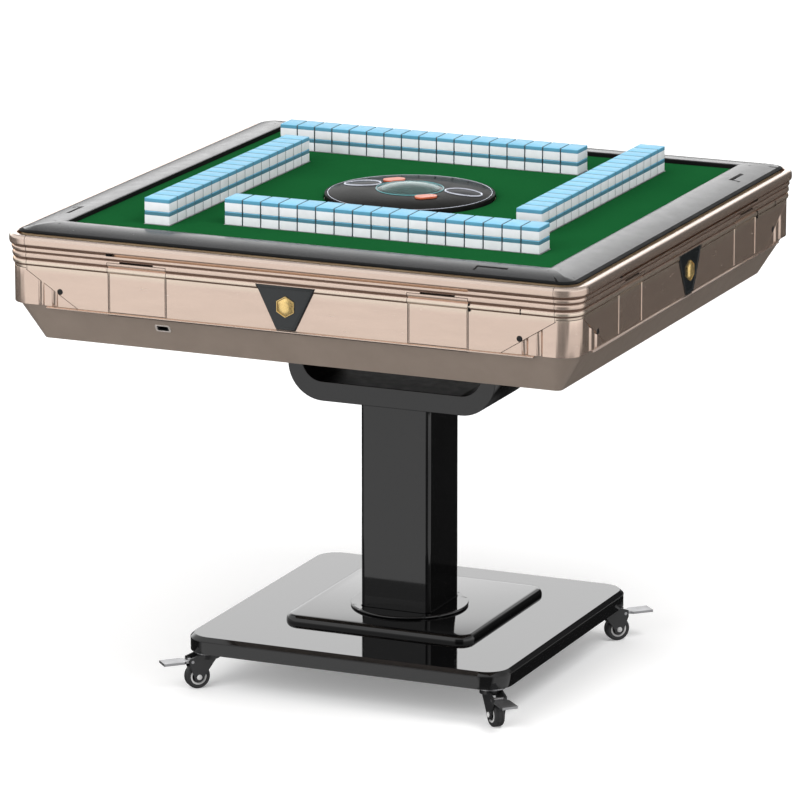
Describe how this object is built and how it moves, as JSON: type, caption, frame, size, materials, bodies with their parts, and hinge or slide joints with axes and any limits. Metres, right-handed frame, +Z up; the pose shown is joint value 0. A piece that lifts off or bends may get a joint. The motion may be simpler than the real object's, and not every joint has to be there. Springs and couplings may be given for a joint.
{
  "type": "mahjong table with drawers",
  "caption": "Square automatic mahjong table with felt top, tile lifts, a central dice unit and drawers, on a column with a tilting cradle and braked castors.",
  "frame": {"origin": "on the floor under the centre of the column", "axes": "+Z up, -Y towards the front of the table, +X to the right"},
  "size_m": [0.96, 0.96, 0.8106],
  "materials": {
    "black_gloss": "high gloss black paint",
    "hinge_steel": "zinc plated",
    "castor_black": "moulded black",
    "castor_tyre": "black tread with grey hub",
    "pedal_zinc": "zinc plated",
    "tray_taupe": "satin taupe",
    "champagne": "satin champagne",
    "drawer_champagne": "satin champagne",
    "rim_grey": "satin grey",
    "board_wood": "raw board",
    "felt_green": "green felt",
    "emblem_black": "dark gloss",
    "screw_black": "black",
    "socket_grey": "light grey",
    "inner_grey": "moulded grey",
    "motor_steel": "steel",
    "board_green": "circuit board",
    "roller_rubber": "black rubber",
    "control_black": "glossy black",
    "dome_clear": "clear",
    "dice_white": "polished",
    "button_orange": "orange",
    "lift_plate": "satin",
    "tile_blue_white": "light blue backs on white bodies"
  },
  "bodies": {
    "pedestal": {"base_plate": "black_gloss", "base_step_plate": "black_gloss", "column": "black_gloss", "column_collar": "black_gloss", "cradle_bracket": "black_gloss", "fold_hinge_lugs": "hinge_steel", "fold_hinge_pins": "hinge_steel", "castor_plates": "pedal_zinc"},
    "tabletop": {"bottom_tray": "tray_taupe", "side_panels": "champagne", "corner_caps": "champagne", "corner_guards": "champagne", "panel_screws": "screw_black", "emblem_plates": "emblem_black", "usb_socket": "socket_grey", "power_inlet": "socket_grey", "play_board": "board_wood", "felt_cover": "felt_green", "rim_rails": "rim_grey", "lift_guides": "inner_grey", "centre_post": "inner_grey", "drum_motor": "motor_steel", "main_board": "board_green", "drawer_housings": "inner_grey", "fold_hinge_leaves": "hinge_steel"},
    "drum": {"mixing_drum": "inner_grey"},
    "roller": {"drive_roller": "roller_rubber"},
    "control": {"control_unit": "control_black", "dice_dome": "dome_clear"},
    "dice_turntable": {"dice_plate": "dice_white"},
    "button_front": {"dice_button_front": "button_orange"},
    "button_rear": {"dice_button_rear": "button_orange"},
    "lift_front": {"lift_platform_front": "lift_plate", "tile_wall_front": "tile_blue_white"},
    "drawer_front_right": {"drawer_front_right": "drawer_champagne"},
    "drawer_front_left": {"drawer_front_left": "drawer_champagne"},
    "lift_right": {"lift_platform_right": "lift_plate", "tile_wall_right": "tile_blue_white"},
    "drawer_right_right": {"drawer_right_right": "drawer_champagne"},
    "drawer_right_left": {"drawer_right_left": "drawer_champagne"},
    "lift_rear": {"lift_platform_rear": "lift_plate", "tile_wall_rear": "tile_blue_white"},
    "drawer_rear_right": {"drawer_rear_right": "drawer_champagne"},
    "drawer_rear_left": {"drawer_rear_left": "drawer_champagne"},
    "lift_left": {"lift_platform_left": "lift_plate", "tile_wall_left": "tile_blue_white"},
    "drawer_left_right": {"drawer_left_right": "drawer_champagne"},
    "drawer_left_left": {"drawer_left_left": "drawer_champagne"},
    "castor_front_right": {"castor_fork_front_right": "castor_black"},
    "wheel_front_right": {"castor_wheel_front_right": "castor_tyre"},
    "pedal_front_right": {"castor_pedal_front_right": "pedal_zinc"},
    "castor_rear_right": {"castor_fork_rear_right": "castor_black"},
    "wheel_rear_right": {"castor_wheel_rear_right": "castor_tyre"},
    "pedal_rear_right": {"castor_pedal_rear_right": "pedal_zinc"},
    "castor_rear_left": {"castor_fork_rear_left": "castor_black"},
    "wheel_rear_left": {"castor_wheel_rear_left": "castor_tyre"},
    "pedal_rear_left": {"castor_pedal_rear_left": "pedal_zinc"},
    "castor_front_left": {"castor_fork_front_left": "castor_black"},
    "wheel_front_left": {"castor_wheel_front_left": "castor_tyre"},
    "pedal_front_left": {"castor_pedal_front_left": "pedal_zinc"}
  },
  "joints": [
    {"name": "table_fold", "type": "hinge", "parent": "pedestal", "child": "tabletop", "pos_m": [0, 0.087, 0.5816], "axis": [1, 0, 0], "range_deg": [-90, 0]},
    {"name": "drum_spin", "type": "hinge", "parent": "tabletop", "child": "drum", "pos_m": [0, 0, 0.64], "axis": [0, 0, 1], "continuous": true},
    {"name": "roller_spin", "type": "hinge", "parent": "tabletop", "child": "roller", "pos_m": [-0.17345, -0.17345, 0.656], "axis": [0, 0, 1], "continuous": true},
    {"name": "control_rise", "type": "slide", "parent": "tabletop", "child": "control", "axis": [0, 0, 1], "range_m": [0, 0.06]},
    {"name": "dice_spin", "type": "hinge", "parent": "control", "child": "dice_turntable", "pos_m": [0, 0, 0.774], "axis": [0, 0, 1], "continuous": true},
    {"name": "dice_button_front_press", "type": "slide", "parent": "control", "child": "button_front", "axis": [0, 0, -1], "range_m": [0, 0.002], "stiffness_N_per_m": 500},
    {"name": "dice_button_rear_press", "type": "slide", "parent": "control", "child": "button_rear", "axis": [0, 0, -1], "range_m": [0, 0.002], "stiffness_N_per_m": 500},
    {"name": "lift_front_travel", "type": "slide", "parent": "tabletop", "child": "lift_front", "axis": [0, 0, 1], "range_m": [-0.062, 0]},
    {"name": "drawer_front_right_slide", "type": "slide", "parent": "tabletop", "child": "drawer_front_right", "axis": [0, -1, 0], "range_m": [0, 0.085]},
    {"name": "drawer_front_left_slide", "type": "slide", "parent": "tabletop", "child": "drawer_front_left", "axis": [0, -1, 0], "range_m": [0, 0.085]},
    {"name": "lift_right_travel", "type": "slide", "parent": "tabletop", "child": "lift_right", "axis": [0, 0, 1], "range_m": [-0.062, 0]},
    {"name": "drawer_right_right_slide", "type": "slide", "parent": "tabletop", "child": "drawer_right_right", "axis": [1, 0, 0], "range_m": [0, 0.085]},
    {"name": "drawer_right_left_slide", "type": "slide", "parent": "tabletop", "child": "drawer_right_left", "axis": [1, 0, 0], "range_m": [0, 0.085]},
    {"name": "lift_rear_travel", "type": "slide", "parent": "tabletop", "child": "lift_rear", "axis": [0, 0, 1], "range_m": [-0.062, 0]},
    {"name": "drawer_rear_right_slide", "type": "slide", "parent": "tabletop", "child": "drawer_rear_right", "axis": [0, 1, 0], "range_m": [0, 0.085]},
    {"name": "drawer_rear_left_slide", "type": "slide", "parent": "tabletop", "child": "drawer_rear_left", "axis": [0, 1, 0], "range_m": [0, 0.085]},
    {"name": "lift_left_travel", "type": "slide", "parent": "tabletop", "child": "lift_left", "axis": [0, 0, 1], "range_m": [-0.062, 0]},
    {"name": "drawer_left_right_slide", "type": "slide", "parent": "tabletop", "child": "drawer_left_right", "axis": [-1, 0, 0], "range_m": [0, 0.085]},
    {"name": "drawer_left_left_slide", "type": "slide", "parent": "tabletop", "child": "drawer_left_left", "axis": [-1, 0, 0], "range_m": [0, 0.085]},
    {"name": "castor_front_right_swivel", "type": "hinge", "parent": "pedestal", "child": "castor_front_right", "pos_m": [0.243, -0.243, 0.05], "axis": [0, 0, 1], "continuous": true},
    {"name": "wheel_front_right_roll", "type": "hinge", "parent": "castor_front_right", "child": "wheel_front_right", "pos_m": [0.25714, -0.25714, 0.02], "axis": [0.7071, 0.7071, 0], "continuous": true},
    {"name": "pedal_front_right_press", "type": "hinge", "parent": "castor_front_right", "child": "pedal_front_right", "pos_m": [0.26492, -0.26492, 0.046], "axis": [0.7071, 0.7071, 0], "range_deg": [0, 10]},
    {"name": "castor_rear_right_swivel", "type": "hinge", "parent": "pedestal", "child": "castor_rear_right", "pos_m": [0.243, 0.243, 0.05], "axis": [0, 0, 1], "continuous": true},
    {"name": "wheel_rear_right_roll", "type": "hinge", "parent": "castor_rear_right", "child": "wheel_rear_right", "pos_m": [0.25714, 0.25714, 0.02], "axis": [-0.7071, 0.7071, 0], "continuous": true},
    {"name": "pedal_rear_right_press", "type": "hinge", "parent": "castor_rear_right", "child": "pedal_rear_right", "pos_m": [0.26492, 0.26492, 0.046], "axis": [-0.7071, 0.7071, 0], "range_deg": [0, 10]},
    {"name": "castor_rear_left_swivel", "type": "hinge", "parent": "pedestal", "child": "castor_rear_left", "pos_m": [-0.243, 0.243, 0.05], "axis": [0, 0, 1], "continuous": true},
    {"name": "wheel_rear_left_roll", "type": "hinge", "parent": "castor_rear_left", "child": "wheel_rear_left", "pos_m": [-0.25714, 0.25714, 0.02], "axis": [-0.7071, -0.7071, 0], "continuous": true},
    {"name": "pedal_rear_left_press", "type": "hinge", "parent": "castor_rear_left", "child": "pedal_rear_left", "pos_m": [-0.26492, 0.26492, 0.046], "axis": [-0.7071, -0.7071, 0], "range_deg": [0, 10]},
    {"name": "castor_front_left_swivel", "type": "hinge", "parent": "pedestal", "child": "castor_front_left", "pos_m": [-0.243, -0.243, 0.05], "axis": [0, 0, 1], "continuous": true},
    {"name": "wheel_front_left_roll", "type": "hinge", "parent": "castor_front_left", "child": "wheel_front_left", "pos_m": [-0.25714, -0.25714, 0.02], "axis": [0.7071, -0.7071, 0], "continuous": true},
    {"name": "pedal_front_left_press", "type": "hinge", "parent": "castor_front_left", "child": "pedal_front_left", "pos_m": [-0.26492, -0.26492, 0.046], "axis": [0.7071, -0.7071, 0], "range_deg": [0, 10]}
  ],
  "couplings": [
    {"joint": "roller_spin", "follows": "drum_spin", "ratio": -11.25},
    {"joint": "lift_right_travel", "follows": "lift_front_travel", "ratio": 1},
    {"joint": "lift_rear_travel", "follows": "lift_front_travel", "ratio": 1},
    {"joint": "lift_left_travel", "follows": "lift_front_travel", "ratio": 1}
  ]
}
